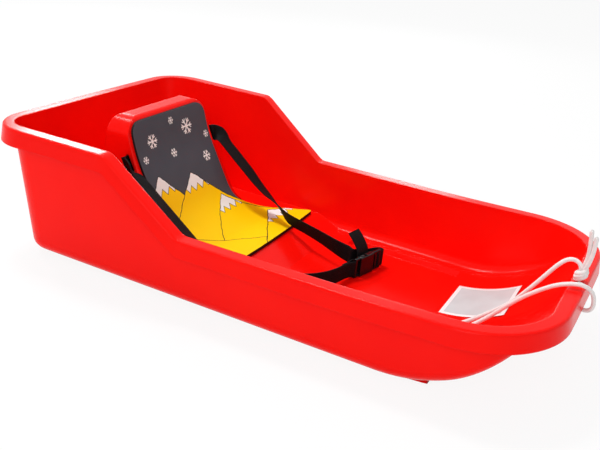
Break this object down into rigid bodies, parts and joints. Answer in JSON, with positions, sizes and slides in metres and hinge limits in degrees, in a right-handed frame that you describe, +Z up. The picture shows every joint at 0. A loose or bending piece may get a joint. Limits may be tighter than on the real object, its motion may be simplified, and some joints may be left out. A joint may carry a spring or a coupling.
{
  "type": "toddler sled",
  "caption": "Moulded toddler sled with a hull on flat runners, a stepped rim, an upright seat back with a pad, a webbing belt with a side release buckle, and a knotted pull cord.",
  "frame": {"origin": "middle of the sled's outline at the height of the ground, which the flat runner faces rest on", "axes": "+X forward to the low foot end, +Y to the sled's left, +Z up; the tub is mirrored about Y = 0"},
  "size_m": [0.8217, 0.4286, 0.207],
  "materials": {
    "tub_plastic": "injection moulded red polyethylene with a soft gloss",
    "pad_foam": "closed cell foam with a satin printed face",
    "webbing": "black woven webbing",
    "buckle_plastic": "black moulded acetal",
    "cord": "white braided cord"
  },
  "bodies": {
    "sled": {"sled_tub": "tub_plastic", "seat_pad": "pad_foam", "belt_webbing": "webbing", "buckle_socket": "buckle_plastic", "pull_cord": "cord", "cord_knot": "cord", "cord_tail_long": "cord", "cord_tail_short": "cord"},
    "plug": {"buckle_plug": "buckle_plastic", "belt_adjuster_end": "webbing"},
    "upper_arm": {"release_arm_upper": "buckle_plastic"},
    "lower_arm": {"release_arm_lower": "buckle_plastic"}
  },
  "joints": [
    {"name": "buckle_release", "type": "slide", "parent": "sled", "child": "plug", "axis": [0.247, 0.969, 0], "range_m": [0, 0.03], "deforming": ["belt_adjuster_end", "release_arm_upper", "release_arm_lower"]},
    {"name": "upper_arm_squeeze", "type": "hinge", "parent": "plug", "child": "upper_arm", "pos_m": [0.08855, 0.06277, 0.0362], "axis": [0.969, -0.247, 0], "range_deg": [0, 10], "stiffness_Nm_per_rad": 0.02},
    {"name": "lower_arm_squeeze", "type": "hinge", "parent": "plug", "child": "lower_arm", "pos_m": [0.08855, 0.06277, 0.0168], "axis": [-0.969, 0.247, 0], "range_deg": [0, 10], "stiffness_Nm_per_rad": 0.02}
  ],
  "couplings": [
    {"joint": "lower_arm_squeeze", "follows": "upper_arm_squeeze", "ratio": 1}
  ]
}
